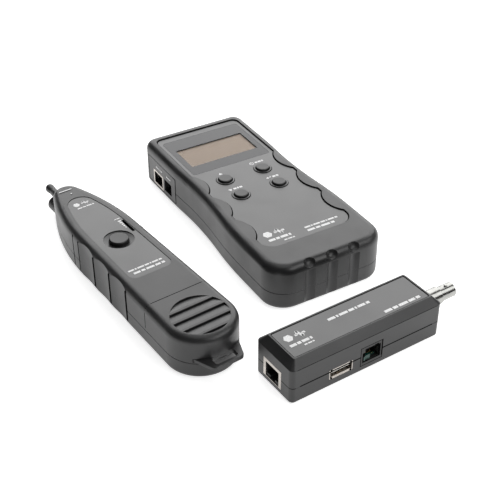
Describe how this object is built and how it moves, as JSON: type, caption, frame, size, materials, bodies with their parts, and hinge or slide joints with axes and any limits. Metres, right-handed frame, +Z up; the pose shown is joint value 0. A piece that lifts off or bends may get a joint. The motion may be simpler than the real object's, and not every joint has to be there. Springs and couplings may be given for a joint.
{
  "type": "cable tester kit",
  "caption": "Handheld cable tester with display and keys, a pen-shaped tone probe with grille and thumbwheel, and a small box-shaped remote with network, USB, phone and coaxial jacks.",
  "frame": {"origin": "centre of the main tester's base, on the surface that all three units lie on", "axes": "+Z up from the surface, +Y along the main tester towards its display end, +X to its right; the probe lies to its left and the remote in front of its grip end"},
  "size_m": [0.1839, 0.2691, 0.033],
  "materials": {
    "battery_jacket": "plain painted jacket",
    "black_plastic": "black moulded",
    "bright_metal": "stamped tinned sheet",
    "chrome": "nickel plated",
    "circuit_board": "solder mask",
    "display_glass": "reflective display, off",
    "face_plate": "smooth satin plate",
    "gold_contact": "gold plated",
    "key_plastic": "satin moulded keys",
    "lamp_lens": "clear moulded lens",
    "membrane_rubber": "soft silicone",
    "screw_steel": "zinc plated",
    "shell_plastic": "fine moulded satin texture",
    "smoked_window": "smoked glossy pane",
    "speaker_metal": "painted cone and frame",
    "tip_plastic": "satin moulded",
    "white_insulator": "turned plastic"
  },
  "bodies": {
    "main_tester": {"main_back_shell": "shell_plastic", "main_battery": "battery_jacket", "main_battery_snap": "black_plastic", "main_circuit_board": "circuit_board", "main_coax_jack_barrel": "chrome", "main_coax_jack_insulator": "white_insulator", "main_coax_jack_socket": "gold_contact", "main_faceplate": "face_plate", "main_front_shell": "shell_plastic", "main_key_membrane": "membrane_rubber", "main_lcd": "display_glass", "main_lcd_holder": "black_plastic", "main_network_jack_contacts": "gold_contact", "main_network_jack_insert": "black_plastic", "main_network_jack_shield": "bright_metal", "main_phone_jack_body": "black_plastic", "main_phone_jack_contacts": "gold_contact", "main_port_panel": "shell_plastic", "main_screws": "screw_steel", "main_usb_socket_shell": "bright_metal", "main_usb_socket_tongue": "white_insulator", "main_window": "smoked_window"},
    "probe": {"probe_battery": "battery_jacket", "probe_battery_snap": "black_plastic", "probe_bottom_shell": "shell_plastic", "probe_button_switch": "black_plastic", "probe_circuit_board": "circuit_board", "probe_faceplate": "face_plate", "probe_lamp": "lamp_lens", "probe_lamp_hood": "black_plastic", "probe_lanyard_loop": "shell_plastic", "probe_screws": "screw_steel", "probe_speaker": "speaker_metal", "probe_tail_cover": "shell_plastic", "probe_tip": "tip_plastic", "probe_top_shell": "shell_plastic", "probe_volume_control": "black_plastic"},
    "remote": {"remote_bottom_shell": "shell_plastic", "remote_circuit_board": "circuit_board", "remote_coax_jack_barrel": "chrome", "remote_coax_jack_insulator": "white_insulator", "remote_coax_jack_socket": "gold_contact", "remote_faceplate": "face_plate", "remote_network_jack_contacts": "gold_contact", "remote_network_jack_insert": "black_plastic", "remote_network_jack_shield": "bright_metal", "remote_phone_jack_body": "black_plastic", "remote_phone_jack_contacts": "gold_contact", "remote_screws": "screw_steel", "remote_top_shell": "shell_plastic", "remote_usb_socket_shell": "bright_metal", "remote_usb_socket_tongue": "white_insulator"},
    "up_key": {"main_key_up": "key_plastic"},
    "down_key": {"main_key_down": "key_plastic"},
    "power_key": {"main_key_power": "key_plastic"},
    "enter_key": {"main_key_enter": "key_plastic"},
    "main_door": {"main_battery_door": "shell_plastic"},
    "probe_trigger": {"probe_button": "key_plastic"},
    "probe_wheel": {"probe_thumbwheel": "black_plastic"},
    "probe_door": {"probe_battery_door": "shell_plastic"}
  },
  "joints": [
    {"name": "up_press", "type": "slide", "parent": "main_tester", "child": "up_key", "axis": [0, 0, -1], "range_m": [0, 0.0008], "stiffness_N_per_m": 600, "springref_m": -0.0005},
    {"name": "down_press", "type": "slide", "parent": "main_tester", "child": "down_key", "axis": [0, 0, -1], "range_m": [0, 0.0008], "stiffness_N_per_m": 600, "springref_m": -0.0005},
    {"name": "power_press", "type": "slide", "parent": "main_tester", "child": "power_key", "axis": [0, 0, -1], "range_m": [0, 0.0008], "stiffness_N_per_m": 600, "springref_m": -0.0005},
    {"name": "enter_press", "type": "slide", "parent": "main_tester", "child": "enter_key", "axis": [0, 0, -1], "range_m": [0, 0.0008], "stiffness_N_per_m": 600, "springref_m": -0.0005},
    {"name": "main_door_tilt", "type": "hinge", "parent": "main_tester", "child": "main_door", "pos_m": [0, -0.0263, 0.0013], "axis": [1, 0, 0], "range_deg": [0, 75]},
    {"name": "probe_lift", "type": "slide", "parent": "main_tester", "child": "probe", "axis": [0, 0, 1], "range_m": [0, 0.12]},
    {"name": "remote_lift", "type": "slide", "parent": "main_tester", "child": "remote", "axis": [0, 0, 1], "range_m": [0, 0.12]},
    {"name": "probe_button_press", "type": "slide", "parent": "probe", "child": "probe_trigger", "axis": [0, 0, -1], "range_m": [0, 0.001], "stiffness_N_per_m": 800, "springref_m": -0.0005},
    {"name": "thumbwheel_turn", "type": "hinge", "parent": "probe", "child": "probe_wheel", "pos_m": [-0.09207, 0.00305, 0.0222], "axis": [0, 0, 1], "range_deg": [0, 270]},
    {"name": "probe_door_tilt", "type": "hinge", "parent": "probe", "child": "probe_door", "pos_m": [-0.10416, -0.0119, 0.0013], "axis": [0.9959, 0.0906, 0], "range_deg": [0, 75]}
  ]
}
